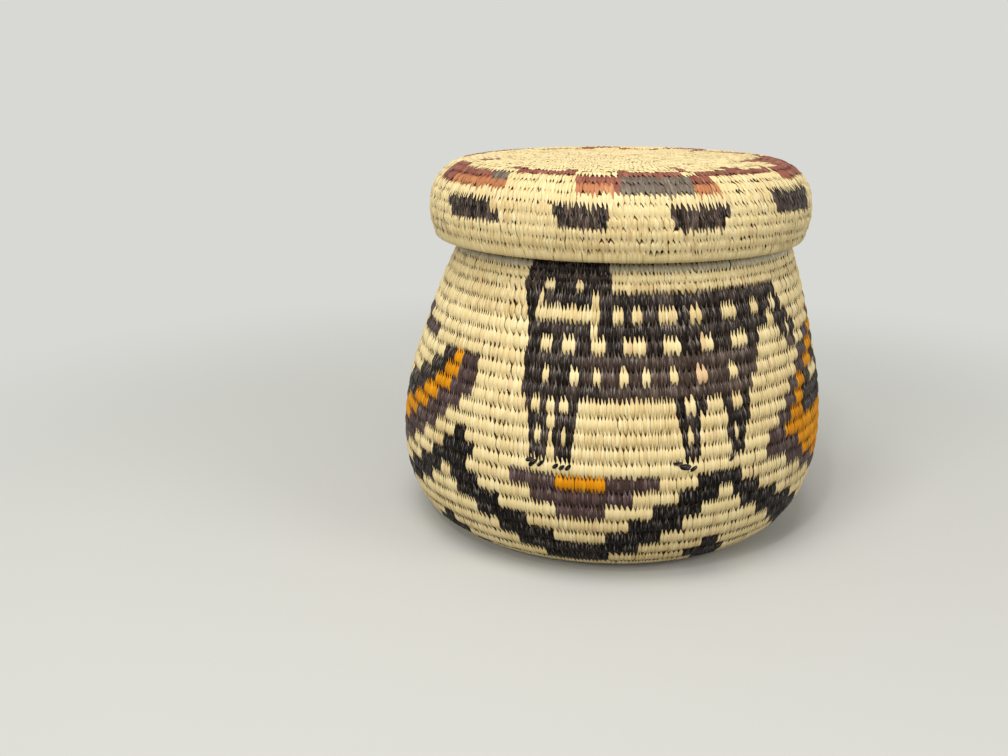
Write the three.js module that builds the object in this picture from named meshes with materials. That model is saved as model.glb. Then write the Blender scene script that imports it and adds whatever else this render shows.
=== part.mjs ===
// A coiled basket with a cap lid, in millimetres, +Z up, standing on z = 0.
// The basket is one long coil that starts at the middle of the base, winds outwards, turns up into a
// low, full belly and draws in to an upright collar. The lid is a second coil: a flat, slightly domed
// top, a rounded shoulder and a short side that hangs round the collar. The lid rests on the rim and
// lifts straight off. Each coil is cut into the stretches that its maker works in turn, from the start
// to the rim, and every stretch climbs by one row in each turn.
import * as THREE from "three";

// Sizes of the basket.
const BELLY_RADIUS = 90;
const BELLY_HEIGHT = 38; // where the basket is widest
const FOOT_RADIUS = 62; // outer edge of the flat that it stands on
const BASE_RISE = 1.9; // how far the middle of the base stands above the foot
const SHOULDER_RADIUS = 69.7; // under the lid's lower edge
const SHOULDER_HEIGHT = 117.7;
const COLLAR_RADIUS = 67.4;
const RIM_HEIGHT = 144.9;
const BASKET_TURNS = 43;
const COLLAR_TURN = 33.4; // from here up to the rim the bundle is thinner
const COLLAR_ROW = 0.653; // height of a row there, as a share of one below
const LEAN = 3.4; // how far the handmade wall drifts towards +X from the belly up to the shoulder
const NECK_LEAN = 0.8; // and how much more, mostly near the shoulder
const FLAT_CUT = 0.5; // how deep the lowest crests are pressed flat

// Sizes of the lid.
const LID_RADIUS = 78.6;
const LID_BOTTOM = 120.7;
const LID_TOP = 152.1; // where the top meets the shoulder
const LID_DOME = 1; // how far the middle of the top stands above that
const LID_SHOULDER = 17.5; // radius of the rounded shoulder
const LID_INSET = 1.8; // how far its lip draws in
const LID_OFFSET = 1.5; // where the lid sits along X, near the collar's own middle
const LID_TURNS = 33;
const LID_SIDE_TURN = 25; // from here down to the lip the bundle is thicker
const LID_SIDE_ROW = 1.39; // height of a row there, as a share of one on the top

// A coil's section: how far the crests of its rows, the grooves between them and the smooth inside
// stand off the middle of the wall, and how far the last row rounds over beyond the middle line's end.
const BASKET_SECTION = { crest: 3.2, groove: 2.3, inside: 2.5, rim: 2.2 };
const LID_SECTION = { crest: 2.8, groove: 2.0, inside: 2.0, rim: 2.1 };

const GAP = 0.3; // between neighbouring stretches
const SEAM_ANGLE = THREE.MathUtils.degToRad(205); // the side where each stretch starts and ends

// The middle line of the basket's wall, from the centre of the base to the rim.
const wall = BASKET_SECTION.crest;
const standing = wall - FLAT_CUT;
const basketLine = outline([
  [0, standing + BASE_RISE],
  [FOOT_RADIUS * 0.5, standing + BASE_RISE * 0.8],
  [FOOT_RADIUS * 0.84, standing + 0.1],
  [FOOT_RADIUS, standing],
  [70.6, 5.0],
  [77.0, 9.0],
  [80.9, 14.2],
  [84.6, 22.6],
  [BELLY_RADIUS - wall, BELLY_HEIGHT],
  [84.8, 59.6],
  [79.1, 80.9],
  [72.6, 101.5],
  [SHOULDER_RADIUS - wall, SHOULDER_HEIGHT],
  [COLLAR_RADIUS - wall + 0.6, SHOULDER_HEIGHT + 6],
  [COLLAR_RADIUS - wall, SHOULDER_HEIGHT + 13],
  [COLLAR_RADIUS - wall, RIM_HEIGHT - BASKET_SECTION.rim],
]);

// The middle line of the lid, from the centre of its top to the lip.
const skin = LID_SECTION.crest;
const shoulderMiddle = [LID_RADIUS - LID_SHOULDER, LID_TOP - LID_SHOULDER];
const lidLine = outline([
  [0, LID_TOP + LID_DOME - skin],
  [LID_RADIUS * 0.5, LID_TOP + LID_DOME * 0.7 - skin],
  ...[90, 67.5, 45, 22.5, 0].map((degrees) => {
    const angle = THREE.MathUtils.degToRad(degrees);
    return [
      shoulderMiddle[0] + (LID_SHOULDER - skin) * Math.cos(angle),
      shoulderMiddle[1] + (LID_SHOULDER - skin) * Math.sin(angle),
    ];
  }),
  [LID_RADIUS - skin, LID_BOTTOM + 9],
  [LID_RADIUS - skin - LID_INSET, LID_BOTTOM + LID_SECTION.rim],
]);

// A smooth curve through [radius, height] points, measured along its own length.
function outline(points) {
  const curve = new THREE.CatmullRomCurve3(
    points.map(([radius, height]) => new THREE.Vector3(radius, 0, height)),
    false,
    "centripetal",
  );
  curve.arcLengthDivisions = 1200;
  return curve;
}

// How far the basket's rings stand off towards +X at a height: nothing where it is widest, and level
// from the collar's foot upwards.
function leanAt(height) {
  const raised =
    (Math.min(height, SHOULDER_HEIGHT) - BELLY_HEIGHT) / (SHOULDER_HEIGHT - BELLY_HEIGHT);
  return LEAN * raised + NECK_LEAN * raised ** 3;
}

// How far along its line a coil has come after some turns. Its rows are of one height up to the turn
// where its bundle changes, and from there on laterRow times as high.
function alongAt(turn, { turns, changeAt, laterRow }, length) {
  const heights = (count) => Math.min(count, changeAt) + Math.max(count - changeAt, 0) * laterRow;
  return (length * heights(turn)) / heights(turns);
}

// The closed solid of some whole turns of a coil, from turn first to turn last of all its turns.
// Edge e is the groove e rows from the start. It climbs by one row in each turn, so edge e at the end
// of a turn is edge e + 1 at its start, and both use the same vertices. outside is +1 where the outer
// face is on the right of the line as it runs, -1 where it is on the left. place gives the shift along
// X at a height. The first edge of the whole coil shrinks to its centre and the last one to its rim.
function coil({ line, outside, section, place, winding }, { first, last, steps, flats, slip }) {
  const length = line.getLength();
  const pitch = alongAt(1, winding, length);
  const atCentre = first === 0;
  const atRim = last === winding.turns;
  const rows = last - first + (atCentre ? 1 : 0);
  const positions = [];
  const indices = [];
  const known = new Map();

  // A vertex at a place along the line, standing off it, at one of the steps round the turn.
  function vertex(along, off, step, beyond = 0) {
    const point = line.getPointAt(along / length);
    const tangent = line.getTangentAt(along / length);
    const radius = Math.max(point.x + outside * tangent.z * off + tangent.x * beyond, 0);
    const height = Math.max(point.z - outside * tangent.x * off + tangent.z * beyond, 0);
    const angle = SEAM_ANGLE + slip + ((step % steps) / steps) * 2 * Math.PI;
    const spot = [place(height) + radius * Math.cos(angle), radius * Math.sin(angle), height];
    const key = spot.map((v) => Math.round(v * 1e5)).join();
    if (!known.has(key)) {
      known.set(key, positions.length / 3);
      positions.push(...spot);
    }
    return known.get(key);
  }

  // How far along the line edge e lies at a step. A stretch keeps half a gap to its neighbours.
  function edge(e, step) {
    const turn = first + e - (atCentre ? 1 : 0) + step / steps;
    const along = alongAt(Math.min(Math.max(turn, 0), winding.turns), winding, length);
    const lowest = e === 0 || (e === 1 && step === 0);
    const highest = e === rows || (e === rows - 1 && step === steps);
    let shift = 0;
    if (lowest && !atCentre) shift = GAP / 2;
    if (highest && !atRim) shift = -GAP / 2;
    return THREE.MathUtils.clamp(along + shift, 0, length);
  }

  // A crest vertex of row e, part of the way from its lower groove to its upper one. Where the row
  // is narrow, at the coil's start and end, its crest is low too.
  function crest(e, step, part) {
    const low = edge(e, step);
    const width = edge(e + 1, step) - low;
    const swell = Math.min(width / (pitch - GAP), 1);
    const off = THREE.MathUtils.lerp(section.groove, section.crest, swell);
    return vertex(low + width * part, off, step);
  }

  // One closed ring of vertices: up the outside of row e, and back down its inside.
  function rowSection(e, step) {
    return {
      outside: [
        vertex(edge(e, step), section.groove, step),
        crest(e, step, flats ? 0.3 : 0.5),
        crest(e, step, flats ? 0.7 : 0.5),
        vertex(edge(e + 1, step), section.groove, step),
      ],
      inside: [
        vertex(edge(e, step), -section.inside, step),
        vertex(edge(e + 1, step), -section.inside, step),
      ],
    };
  }

  function triangle(a, b, c) {
    if (a === b || b === c || c === a) return;
    if (outside > 0) indices.push(a, b, c);
    else indices.push(a, c, b);
  }

  function quad(a, b, c, d) {
    triangle(a, b, c);
    triangle(a, c, d);
  }

  for (let step = 0; step < steps; step += 1) {
    for (let e = 0; e < rows; e += 1) {
      const here = rowSection(e, step);
      const next = rowSection(e, step + 1);
      for (let i = 0; i < 3; i += 1) {
        quad(here.outside[i], next.outside[i], next.outside[i + 1], here.outside[i + 1]);
      }
      quad(here.inside[0], here.inside[1], next.inside[1], next.inside[0]);
      if (e === 0) quad(here.inside[0], next.inside[0], next.outside[0], here.outside[0]);
      if (e === rows - 1 && atRim) {
        const [top, nextTop] = [step, step + 1].map((s) => vertex(length, 0, s, section.rim));
        quad(here.outside[3], next.outside[3], nextTop, top);
        quad(top, nextTop, next.inside[1], here.inside[1]);
      } else if (e === rows - 1) {
        quad(here.outside[3], next.outside[3], next.inside[1], here.inside[1]);
      }
    }
  }

  // The faces across the coil where the stretch starts and ends.
  function face(e, step, turned) {
    const { outside: out, inside } = rowSection(e, step);
    const ring = [...out, inside[1], inside[0]];
    if (turned) ring.reverse();
    for (let i = 1; i < ring.length - 1; i += 1) triangle(ring[0], ring[i], ring[i + 1]);
  }
  face(0, 0, false);
  face(rows - 1, steps, true);

  const geometry = new THREE.BufferGeometry();
  geometry.setAttribute("position", new THREE.Float32BufferAttribute(positions, 3));
  geometry.setIndex(indices);
  geometry.computeVertexNormals();
  return geometry;
}

// Adds every stretch of a coil to the group. Each one starts a gap further round than the last.
function addStretches(group, shape, stretches, colour) {
  const { turns } = shape.winding;
  let first = 0;
  let slip = 0;
  for (const { name, count, steps, flats = false, shade = 1 } of stretches) {
    const radius = shape.line.getPointAt(alongAt(first, shape.winding, 1)).x;
    if (first > 0) slip += GAP / radius;
    const geometry = coil(shape, { first, last: first + count, steps, flats, slip });
    const material = new THREE.MeshStandardMaterial({
      color: new THREE.Color(colour).multiplyScalar(shade),
      roughness: 0.55,
      metalness: 0,
    });
    const mesh = new THREE.Mesh(geometry, material);
    mesh.name = name;
    group.add(mesh);
    first += count;
  }
  if (first !== turns) throw new Error(`the stretches make ${first} turns, not ${turns}`);
}

const basket = new THREE.Group();
addStretches(
  basket,
  {
    line: basketLine,
    outside: 1,
    section: BASKET_SECTION,
    place: leanAt,
    winding: { turns: BASKET_TURNS, changeAt: COLLAR_TURN, laterRow: COLLAR_ROW },
  },
  [
    { name: "base_start", count: 2, steps: 16 },
    { name: "base_spiral", count: 7, steps: 28, shade: 0.96 },
    { name: "base_foot", count: 3, steps: 36, flats: true },
    { name: "heel_coils", count: 4, steps: 36, shade: 0.96 },
    { name: "lower_wall_coils", count: 5, steps: 36 },
    { name: "belly_coils", count: 5, steps: 36, shade: 0.96 },
    { name: "upper_wall_coils", count: 5, steps: 36 },
    { name: "shoulder_coils", count: 5, steps: 36, shade: 0.96 },
    { name: "collar_coils", count: 4, steps: 36 },
    { name: "rim_coil", count: 3, steps: 36, shade: 0.96 },
  ],
  0xe2cf99,
);

const lid = new THREE.Group();
addStretches(
  lid,
  {
    line: lidLine,
    outside: -1,
    section: LID_SECTION,
    place: () => LID_OFFSET,
    winding: { turns: LID_TURNS, changeAt: LID_SIDE_TURN, laterRow: LID_SIDE_ROW },
  },
  [
    { name: "lid_start", count: 3, steps: 16 },
    { name: "lid_top_spiral", count: 13, steps: 28, shade: 0.95 },
    { name: "lid_top_border", count: 8, steps: 32 },
    { name: "lid_shoulder_coils", count: 4, steps: 36, shade: 0.95 },
    { name: "lid_side_coils", count: 3, steps: 36 },
    { name: "lid_lip_coil", count: 2, steps: 36, shade: 0.95 },
  ],
  0xdcc48c,
);

const coiledBasket = new THREE.Group();
coiledBasket.add(basket, lid);

export default coiledBasket;
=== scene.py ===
# %% [markdown]
# # A basket of sewn coil with a lid
# This basket is made of one long bundle of fibre that winds round and round. Flat strands of palm leaf
# are wrapped over the bundle, and each wrap catches the row below, so the coil holds together. Dyed
# strands take the place of plain ones wherever the pattern needs them. The lesson builds every single
# strand as a small curved sheet, because the ragged colour changes between rows come from the pointed
# ends of the strands, and no painted pattern shows them in the same way.
#
# The first cell loads the plain solids of the part. The looks are built around them.

import math

import bpy
import numpy as np
from mathutils import Matrix, Vector


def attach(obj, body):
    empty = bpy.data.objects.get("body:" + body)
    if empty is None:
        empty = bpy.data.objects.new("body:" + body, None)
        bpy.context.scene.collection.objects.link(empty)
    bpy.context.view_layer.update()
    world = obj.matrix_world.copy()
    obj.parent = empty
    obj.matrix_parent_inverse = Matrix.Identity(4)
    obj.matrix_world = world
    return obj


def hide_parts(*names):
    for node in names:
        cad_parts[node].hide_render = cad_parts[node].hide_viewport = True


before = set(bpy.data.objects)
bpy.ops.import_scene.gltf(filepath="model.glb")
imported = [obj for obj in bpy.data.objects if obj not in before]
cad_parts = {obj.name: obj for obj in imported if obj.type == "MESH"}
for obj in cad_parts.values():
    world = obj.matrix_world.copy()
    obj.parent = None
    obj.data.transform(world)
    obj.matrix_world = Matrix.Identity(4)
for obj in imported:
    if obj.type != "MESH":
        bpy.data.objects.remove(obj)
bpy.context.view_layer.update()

# %% [markdown]
# ## The camera
# The camera stands a little above the lid and looks slightly down, so that the lid's top shows as a
# thin ellipse. Its place and its two turns were found by fitting the outline of the real basket. It
# looks a little to the left, which puts the basket right of the middle of the frame.

# %% Camera
MM = 0.001
CAMERA_PLACE = (1.6 * MM, -421.0 * MM, 180.7 * MM)
CAMERA_DOWN = math.radians(16.57)
CAMERA_LEFT = math.radians(6.51)
FOCAL_WIDTHS = 984 / 1008  # focal length as a share of the picture's width

scene = bpy.context.scene
camera = bpy.data.objects.new("camera", bpy.data.cameras.new("camera"))
scene.collection.objects.link(camera)
camera.data.sensor_width = 36
camera.data.lens = 36 * FOCAL_WIDTHS
camera.data.clip_start = 0.01
level = Vector((-math.sin(CAMERA_LEFT), math.cos(CAMERA_LEFT), 0))
ahead = math.cos(CAMERA_DOWN) * level - math.sin(CAMERA_DOWN) * Vector((0, 0, 1))
right = ahead.cross(Vector((0, 0, 1))).normalized()
turn = Matrix((right, right.cross(ahead), -ahead)).transposed().to_4x4()
camera.matrix_world = Matrix.Translation(CAMERA_PLACE) @ turn
scene.camera = camera
print("camera lens", round(camera.data.lens, 2), "mm")

# %% [markdown]
# ## Writing shaders as sums
# A material is a graph of nodes. Adding them one by one hides the idea behind them, so a small class
# wraps the output of a node. Adding, taking away or multiplying two of these values makes the Math
# node that does it. Any other node comes from one method that takes its type, its settings and its
# inputs. Colours go through Mix nodes, because a Math node would turn them grey.

# %% Values that build nodes
class Value:
    """A number, colour or vector that varies over a surface: one output of one node."""

    def __init__(self, shader, socket):
        self.shader = shader
        self.socket = socket

    def math(self, operation, *others):
        inputs = dict(enumerate((self, *others)))
        return self.shader.node("ShaderNodeMath", {"operation": operation}, inputs)

    def __add__(self, other):
        return self.math("ADD", other)

    def __sub__(self, other):
        return self.math("SUBTRACT", other)

    def __mul__(self, other):
        return self.math("MULTIPLY", other)

    def __pow__(self, other):
        return self.math("POWER", other)

    def __rsub__(self, other):
        return self.shader.node("ShaderNodeMath", {"operation": "SUBTRACT"}, {0: other, 1: self})

    __radd__ = __add__
    __rmul__ = __mul__

    def clamped(self):
        settings = {"operation": "ADD", "use_clamp": True}
        return self.shader.node("ShaderNodeMath", settings, {0: self, 1: 0.0})


class Shader:
    """The nodes of a material or of the room."""

    def __init__(self, owner):
        owner.use_nodes = True
        self.owner, self.tree = owner, owner.node_tree
        self.tree.nodes.clear()

    def node(self, kind, settings=None, inputs=None, output=0):
        """Adds a node: its settings first, then its inputs by name or number. Returns one output."""
        made = self.tree.nodes.new(kind)
        for key, value in (settings or {}).items():
            setattr(made, key, value)
        for key, value in (inputs or {}).items():
            if isinstance(value, Value):
                self.tree.links.new(value.socket, made.inputs[key])
            else:
                made.inputs[key].default_value = value
        return Value(self, made.outputs[output])

    def mix(self, factor, first, second):
        """A colour between two others: the first where the factor is 0, the second where it is 1."""
        settings = {"data_type": "RGBA", "clamp_factor": True}
        return self.node("ShaderNodeMix", settings, {0: factor, 6: first, 7: second}, 2)

    def noise(self, vector, scale, detail):
        inputs = {"Vector": vector, "Scale": scale, "Detail": detail}
        return self.node("ShaderNodeTexNoise", None, inputs)

    def seen(self):
        """1 for rays that show what is there: from the camera, off a shine or through glass."""
        kinds = ("Is Camera Ray", "Is Glossy Ray", "Is Transmission Ray")
        rays = [self.node("ShaderNodeLightPath", output=kind) for kind in kinds]
        return rays[0].math("MAXIMUM", rays[1]).math("MAXIMUM", rays[2])

    def finish(self, surface, output="ShaderNodeOutputMaterial"):
        self.tree.links.new(surface.socket, self.tree.nodes.new(output).inputs["Surface"])
        return self.owner


def colour(red, green, blue):
    """A colour as it looks on a screen, 0 to 255, turned into the linear values that light uses."""
    parts = [v / 255 for v in (red, green, blue)]
    linear = [v / 12.92 if v <= 0.04045 else ((v + 0.055) / 1.055) ** 2.4 for v in parts]
    return (*linear, 1)


print("a mid grey of 128 is", round(colour(128, 128, 128)[0], 3), "in linear light")

# %% [markdown]
# ## Floor and light
# The basket stands on plain pale paper. Close by, the paper takes the light and the basket's shadow.
# Further off it fades into the backdrop's own colour, which no lamp changes, so no edge shows between
# the two. For the light that it throws back it counts as darker than it looks: the real basket stands
# on a dark table, and its lower wall is in shade. A soft lamp hangs above, a nearer one stands in front
# on the left, a weak one fills the right side, and a small one gives the dark strands their glints.

# %% Floor
BACKDROP = colour(216, 217, 212)
PAPER = colour(198, 199, 195)
PAPER_FOR_BOUNCED_LIGHT = colour(140, 137, 131)
FADE_FROM, FADE_TO = 0.12, 0.5  # metres from the basket's axis
FLOOR_HALF, FLOOR_HEIGHT = 6.0, -0.0001


def stage_material():
    """Lit paper near the basket, the backdrop's colour far away, and darker paper for bounced light."""
    shader = Shader(bpy.data.materials.new("floor"))
    seen = shader.seen()
    paint = shader.mix(seen, PAPER_FOR_BOUNCED_LIGHT, PAPER)
    lit = shader.node("ShaderNodeBsdfDiffuse", None, {"Color": paint})
    glow = shader.node("ShaderNodeEmission", None, {"Color": BACKDROP, "Strength": 1.0})
    place = shader.node("ShaderNodeTexCoord", None, None, "Object")
    away = shader.node("ShaderNodeVectorMath", {"operation": "LENGTH"}, {0: place}, "Value")
    limits = {0: away, 1: FADE_FROM, 2: FADE_TO, 3: 0.0, 4: 1.0}
    fade = shader.node("ShaderNodeMapRange", {"interpolation_type": "SMOOTHSTEP"}, limits)
    return shader.finish(shader.node("ShaderNodeMixShader", None, {0: fade * seen, 1: lit, 2: glow}))


floor_mesh = bpy.data.meshes.new("floor")
corners = [(-FLOOR_HALF, -FLOOR_HALF), (FLOOR_HALF, -FLOOR_HALF)]
corners += [(FLOOR_HALF, FLOOR_HALF), (-FLOOR_HALF, FLOOR_HALF)]
floor_mesh.from_pydata([(x, y, FLOOR_HEIGHT) for x, y in corners], [], [(0, 1, 2, 3)])
floor_mesh.materials.append(stage_material())
floor = bpy.data.objects.new("floor", floor_mesh)
scene.collection.objects.link(floor)
print("the paper fades from 12 cm to 50 cm away")

# %% Lamps and room light
def soft_lamp(name, place, size, power, tint):
    """A square lamp at a place, turned towards the basket's middle."""
    lamp = bpy.data.lights.new(name, "AREA")
    lamp.size = size
    lamp.energy = power
    lamp.color = tint
    made = bpy.data.objects.new(name, lamp)
    made.location = place
    made.rotation_euler = (Vector((0, 0, 0.08)) - Vector(place)).to_track_quat("-Z", "Y").to_euler()
    scene.collection.objects.link(made)


soft_lamp("lamp_above", (-0.15, -0.40, 1.15), 0.6, 7.4, (1.0, 0.98, 0.94))
soft_lamp("lamp_front", (-0.62, -1.00, 0.60), 0.45, 5.7, (1.0, 0.98, 0.95))
soft_lamp("lamp_side", (0.95, -0.45, 0.50), 0.5, 3.7, (1.0, 0.98, 0.96))
soft_lamp("lamp_glint", (-0.25, -0.85, 0.95), 0.07, 2.0, (1.0, 1.0, 1.0))

world = bpy.data.worlds.new("room")
scene.world = world
room = Shader(world)
dim = room.node("ShaderNodeBackground", None, {"Color": (1.0, 0.98, 0.95, 1), "Strength": 0.42})
pale = room.node("ShaderNodeBackground", None, {"Color": BACKDROP, "Strength": 1.0})
either = room.node("ShaderNodeMixShader", None, {0: room.seen(), 1: dim, 2: pale})
room.finish(either, "ShaderNodeOutputWorld")
scene.view_settings.view_transform = "Standard"
print("four lamps and the room's own light")

# %% [markdown]
# ## The wall as a line
# Basket and lid are round, so each is described by the middle line of its wall, seen in section: points
# of radius and height, in millimetres. A smooth curve runs through them. Everything that follows is
# placed by how far it lies along this line, how far it stands off it, and the angle round the axis.

# %% Middle lines of the walls
BELLY_RADIUS, BELLY_HEIGHT, FOOT_RADIUS, BASE_RISE = 90, 38, 62, 1.9
SHOULDER_RADIUS, SHOULDER_HEIGHT, COLLAR_RADIUS, RIM_HEIGHT = 69.7, 117.7, 67.4, 144.9
LID_RADIUS, LID_BOTTOM, LID_TOP, LID_DOME, LID_SHOULDER = 78.6, 120.7, 152.1, 1.0, 17.5
LID_INSET, LID_OFFSET = 1.8, 1.5  # how far the lid's lip draws in, and how far right the lid sits
LEAN, NECK_LEAN = 3.4, 0.8  # how far the wall drifts to the right, evenly and near the shoulder
STANDING = 2.7  # the middle line's height where the basket stands
# How far crest, groove, inside and rim stand off the middle line.
BASKET_SECTION = (3.2, 2.6, 2.5, 2.2)
LID_SECTION = (2.8, 2.5, 2.0, 2.1)
BASKET_CREST, LID_CREST = BASKET_SECTION[0], LID_SECTION[0]

basket_line = [
    (0, STANDING + BASE_RISE),
    (FOOT_RADIUS * 0.5, STANDING + BASE_RISE * 0.8),
    (FOOT_RADIUS * 0.84, STANDING + 0.1),
    (FOOT_RADIUS, STANDING),
    (70.6, 5.0),
    (77.0, 9.0),
    (80.9, 14.2),
    (84.6, 22.6),
    (BELLY_RADIUS - BASKET_CREST, BELLY_HEIGHT),
    (84.8, 59.6),
    (79.1, 80.9),
    (72.6, 101.5),
    (SHOULDER_RADIUS - BASKET_CREST, SHOULDER_HEIGHT),
    (COLLAR_RADIUS - 2.6, SHOULDER_HEIGHT + 6),
    (COLLAR_RADIUS - BASKET_CREST, SHOULDER_HEIGHT + 13),
    (COLLAR_RADIUS - BASKET_CREST, RIM_HEIGHT - 2.2),
]
bend = [math.radians(angle) for angle in (90, 67.5, 45, 22.5, 0)]
lid_line = [
    (0, LID_TOP + LID_DOME - LID_CREST),
    (LID_RADIUS * 0.5, LID_TOP + LID_DOME * 0.7 - LID_CREST),
    *[
        (
            LID_RADIUS - LID_SHOULDER + (LID_SHOULDER - LID_CREST) * math.cos(angle),
            LID_TOP - LID_SHOULDER + (LID_SHOULDER - LID_CREST) * math.sin(angle),
        )
        for angle in bend
    ],
    (LID_RADIUS - LID_CREST, LID_BOTTOM + 9),
    (LID_RADIUS - LID_CREST - LID_INSET, LID_BOTTOM + 2.1),
]


def smooth_line(points, samples=4000):
    """A smooth curve through points. Between two of them it is the cubic whose slopes at both ends
    follow from the points before and after, weighed by the square roots of the distances between."""
    p = np.array(points, float)
    p = np.vstack([2 * p[0] - p[1], p, 2 * p[-1] - p[-2]])
    root = np.sqrt(np.linalg.norm(np.diff(p, axis=0), axis=1))
    t = np.linspace(0, len(points) - 1, samples)
    i = np.minimum(t.astype(int), len(points) - 2)
    w = (t - i)[:, None]
    a, b, c, d = p[i], p[i + 1], p[i + 2], p[i + 3]
    before, here, after = (root[i + k][:, None] for k in range(3))
    start = ((b - a) / before - (c - a) / (before + here) + (c - b) / here) * here
    end = ((c - b) / here - (d - b) / (here + after) + (d - c) / after) * here
    return b + w * (start + w * (3 * (c - b) - 2 * start - end + w * (2 * (b - c) + start + end)))


print("basket line ends at", smooth_line(basket_line)[-1], "lid line at", smooth_line(lid_line)[-1])

# %% [markdown]
# ## The coil
# A coil climbs by one row in each turn. So a row has no height of its own: at turn 20.25 the row lies a
# quarter of a row higher than at turn 20, a quarter of the way round. The class below turns a turn
# number into a place along the wall's line, and then into a point. From one turn on the bundle changes:
# on the basket's collar it is thinner, and on the lid's side it is thicker than on the lid's top.

# %% The coil in numbers
COIL_START = math.radians(205)  # the side where the turns are counted from
BASKET_TURNS, COLLAR_TURN, COLLAR_ROW = 43, 33.4, 0.653
LID_TURNS, LID_SIDE_TURN, LID_SIDE_ROW = 33, 25, 1.39
LOWEST = 0.02  # height that no point goes below
LID_RAISED, RAISED_FROM, RAISED_OVER = 0.9, 42, 16  # the far edge of the lid's top, and from which radius


class Coil:
    """One coil, in millimetres: its line, which side is outside (+1 right of the line as it runs, -1
    left), its turns, the turn where its rows change and how high they are from there on, its section
    (how far crest, groove, inside and rim stand off the line), its shift along X, how much its far
    side is raised, and its strands."""

    def __init__(self, points, side, turns, change, later, section, place, raised, strands):
        line = smooth_line(points)
        self.line = line
        self.far = np.concatenate([[0], np.cumsum(np.linalg.norm(np.diff(line, axis=0), axis=1))])
        self.length = self.far[-1]
        slope = np.gradient(line, axis=0)
        self.slope = slope / np.linalg.norm(slope, axis=1)[:, None]
        self.side, self.turns, self.change, self.later = side, turns, change, later
        self.crest, self.groove, self.inside, self.rim = section
        self.place, self.raised = place, raised
        self.width, self.lean, self.reach, self.ragged, self.arch = strands

    def rows(self, turn):
        """Row heights passed at a turn: one for each turn, and later ones as high as they are."""
        return np.minimum(turn, self.change) + np.maximum(turn - self.change, 0) * self.later

    def along(self, turn):
        """How far along its line the coil's lower edge lies at a turn."""
        return self.length * self.rows(np.maximum(turn, 0)) / self.rows(self.turns)

    def radius(self, along):
        return np.interp(along, self.far, self.line[:, 0])

    def point(self, along, off, angle):
        """The point at a place along the line, standing off it, at an angle round the axis, in metres.
        Past its end the line goes straight on. Nothing goes below the ground or across the axis."""
        along, off, angle = np.broadcast_arrays(along, off, angle)
        inside = np.clip(along, 0, self.length)
        r, z = (np.interp(inside, self.far, self.line[:, k]) for k in (0, 1))
        dr, dz = (np.interp(inside, self.far, self.slope[:, k]) for k in (0, 1))
        r = r + dr * (along - inside) + self.side * dz * off
        z = z + dz * (along - inside) - self.side * dr * off
        r, z = np.maximum(r, 0.0), np.maximum(z, LOWEST)
        far = np.clip((r - RAISED_FROM) / RAISED_OVER, 0, 1) * (0.5 + 0.5 * np.sin(angle)) ** 2
        x, y = self.place(z) + r * np.cos(angle), r * np.sin(angle)
        return np.stack([x, y, z + self.raised * far], -1) * MM


def basket_place(z):
    """How far the rings of the basket stand off to the right: nothing at the belly's height."""
    raised = (np.minimum(z, SHOULDER_HEIGHT) - BELLY_HEIGHT) / (SHOULDER_HEIGHT - BELLY_HEIGHT)
    return LEAN * raised + NECK_LEAN * raised**3


# Strands: width, lean, extra reach of the ends, raggedness of the ends, and arch.
BASKET_STRANDS = (1.40, 0.3, 0.0, 0.045, 0.16)
LID_STRANDS = (1.36, -0.3, 0.06, 0.11, 0.16)
basket_turns = (BASKET_TURNS, COLLAR_TURN, COLLAR_ROW)
basket = Coil(basket_line, 1, *basket_turns, BASKET_SECTION, basket_place, 0, BASKET_STRANDS)
lid_turns = (LID_TURNS, LID_SIDE_TURN, LID_SIDE_ROW)
lid = Coil(lid_line, -1, *lid_turns, LID_SECTION, lambda z: LID_OFFSET, LID_RAISED, LID_STRANDS)
for name, coil in (("basket", basket), ("lid", lid)):
    print(name, "line", round(coil.length, 1), "mm, first rows", round(float(coil.along(1)), 2), "mm")

# %% [markdown]
# ## Where each strand goes
# The maker sets each strand between two strands of the row below. Starting from the centre, the next
# turn's strands are therefore placed halfway between those of the last turn. Where the basket widens,
# extra strands are slipped in, and where it narrows some are left out, each time squeezing the few
# neighbours together a little. The strands lean a little, and the half step allows for that.

# %% Placing the strands
chance = np.random.default_rng(7)


def squeezed(count, extra, lean):
    """Places between the strands of the last turn, counted in strands: halves, shifted step by step
    where a strand is slipped in or left out."""
    places = np.arange(count + extra) + 0.5 - lean
    if abs(extra) > 0.25 * count:
        return places * count / (count + extra)
    if extra:
        every = (count + extra) / abs(extra)
        spots = (np.arange(abs(extra)) + chance.uniform(0.2, 0.5, abs(extra))) * every
        ramps = np.clip((places[:, None] - spots) / min(9, every * 0.9), 0, 1).sum(axis=1)
        places = places - np.sign(extra) * ramps
    return places


def strand_turns(coil, first_turn=-0.62):
    """The turn number of every strand, from the centre to the rim, and the step to its neighbours."""
    count = 8
    step = 1 / (count - (0.5 - coil.lean))
    turns = [first_turn + np.arange(count) * step]
    while turns[-1][-1] < coil.turns:
        last = turns[-1]
        middle = coil.along(last[len(last) // 2] + 1.5)
        wanted = max(8, round(2 * math.pi * float(coil.radius(middle)) / coil.width))
        count, extra = len(last), wanted - len(last)
        end = 1 + last[0] + (0.5 - coil.lean) * (last[1] - last[0])
        places = squeezed(count, extra, coil.lean)
        turns.append(1 + np.interp(places, np.arange(count + 1), [*last, end]))
    turns = np.concatenate(turns)
    turns = turns[turns < coil.turns]
    return turns, np.gradient(turns)


for name, coil in (("basket", basket), ("lid", lid)):
    coil.strands, coil.steps = strand_turns(coil)
    print(name, len(coil.strands), "strands outside")

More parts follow.
